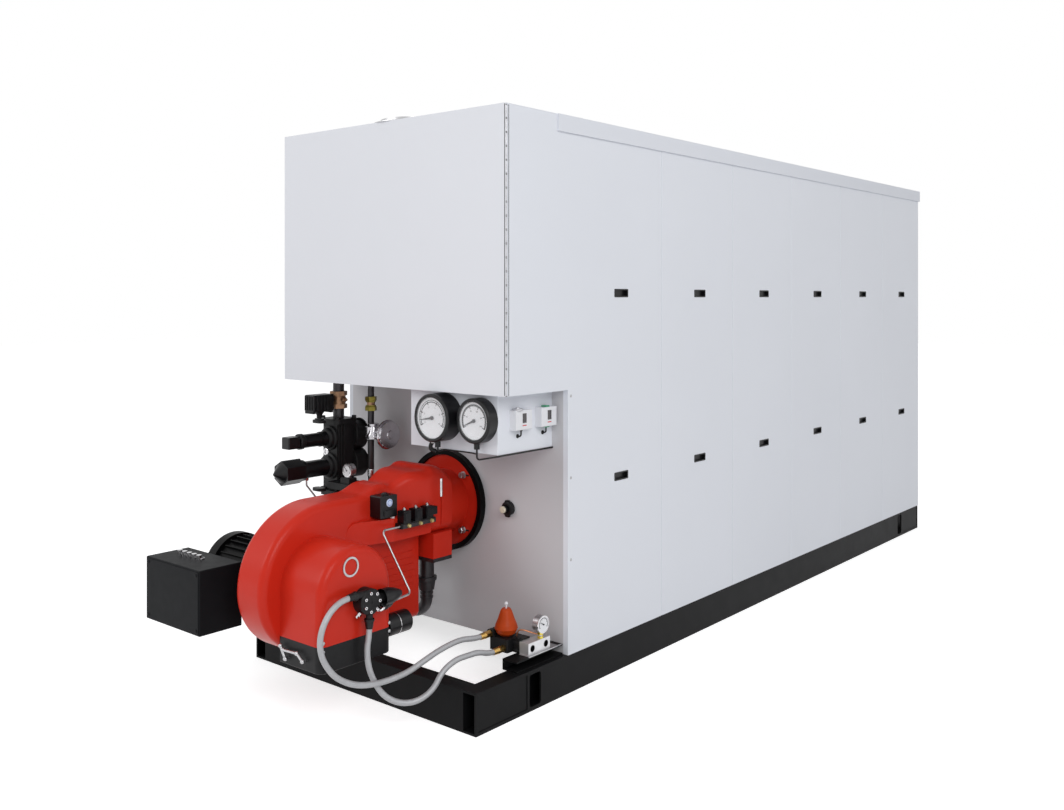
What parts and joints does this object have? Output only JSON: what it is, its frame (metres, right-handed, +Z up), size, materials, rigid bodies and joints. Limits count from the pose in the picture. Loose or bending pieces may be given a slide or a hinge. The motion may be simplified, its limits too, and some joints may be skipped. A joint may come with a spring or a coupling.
{
  "type": "packaged industrial boiler",
  "caption": "Long white cased industrial boiler on a black skid, with a red dual fuel burner, gas train, dial gauges and a hinged head cabinet at the front.",
  "frame": {"origin": "middle of the skid on the floor, under the middle cross beam", "axes": "+Z up; -Y towards the burner and the front door; +X to the side that carries the oil set"},
  "size_m": [1.296, 4.962, 2.244],
  "materials": {
    "white_panel": "powder coat, satin",
    "shell_grey": "matt",
    "skid_black": "semi-gloss paint",
    "handle_black": "moulded",
    "hinge_steel": "satin",
    "flue_steel": "satin",
    "flange_grey": "painted",
    "burner_red": "gloss enamel",
    "burner_black": "satin",
    "moulded_black": "moulded",
    "valve_black": "painted casting",
    "pipe_grey": "satin",
    "brass": "aged",
    "bright_steel": "polished",
    "zinc_steel": "zinc plated",
    "gauge_case": "satin",
    "small_gauge": "satin",
    "controller_white": "moulded",
    "block_aluminium": "machined",
    "cap_orange": "moulded",
    "hose_grey": "braided",
    "port_black": "matt"
  },
  "bodies": {
    "root": {"right_front_panel": "white_panel", "left_front_panel": "white_panel", "right_panels": "white_panel", "left_panels": "white_panel", "rear_panels": "white_panel", "front_wall": "white_panel", "roof_cap": "white_panel", "cabinet_floor": "white_panel", "cabinet_roof": "white_panel", "gauge_box": "white_panel", "boiler_body": "shell_grey", "side_beam_right": "skid_black", "side_beam_left": "skid_black", "cross_beams": "skid_black", "oil_bracket": "skid_black", "handle_cups": "handle_black", "cabinet_hinge_leaf": "hinge_steel", "flue_duct": "flue_steel", "flue_collar": "flue_steel", "water_flanges": "flange_grey", "fan_scroll": "burner_red", "intake_housing": "burner_red", "burner_head": "burner_red", "wall_ring": "burner_black", "fan_motor": "burner_black", "control_box": "burner_black", "damper_box": "burner_black", "servo_motor": "burner_black", "oil_pump": "burner_black", "nozzle_valves": "moulded_black", "air_pressure_switch": "moulded_black", "valve_drive": "moulded_black", "valve_actuators": "moulded_black", "double_gas_valve": "valve_black", "gas_feed_pipe": "valve_black", "filter_head": "valve_black", "main_gas_pipe": "pipe_grey", "pilot_pipe": "pipe_grey", "brass_valves": "brass", "hose_nuts": "brass", "pilot_regulator": "bright_steel", "push_buttons": "bright_steel", "sight_ring": "bright_steel", "damper_lever": "zinc_steel", "nozzle_oil_pipe": "zinc_steel", "impulse_pipe": "zinc_steel", "pressure_gauge": "gauge_case", "thermometer": "gauge_case", "gauge_tubes": "gauge_case", "small_gauges": "small_gauge", "controllers": "controller_white", "oil_manifold": "block_aluminium", "filter_cap": "cap_orange", "oil_hose_return": "hose_grey", "oil_hose_supply": "hose_grey", "sight_port": "port_black"},
    "front_door": {"front_door": "white_panel", "door_hinge_leaf": "hinge_steel"}
  },
  "joints": [
    {"name": "front_door_hinge", "type": "hinge", "parent": "root", "child": "front_door", "pos_m": [0.6355, -1.9929, 1.6965], "axis": [0, 0, 1], "range_deg": [0, 100]}
  ]
}
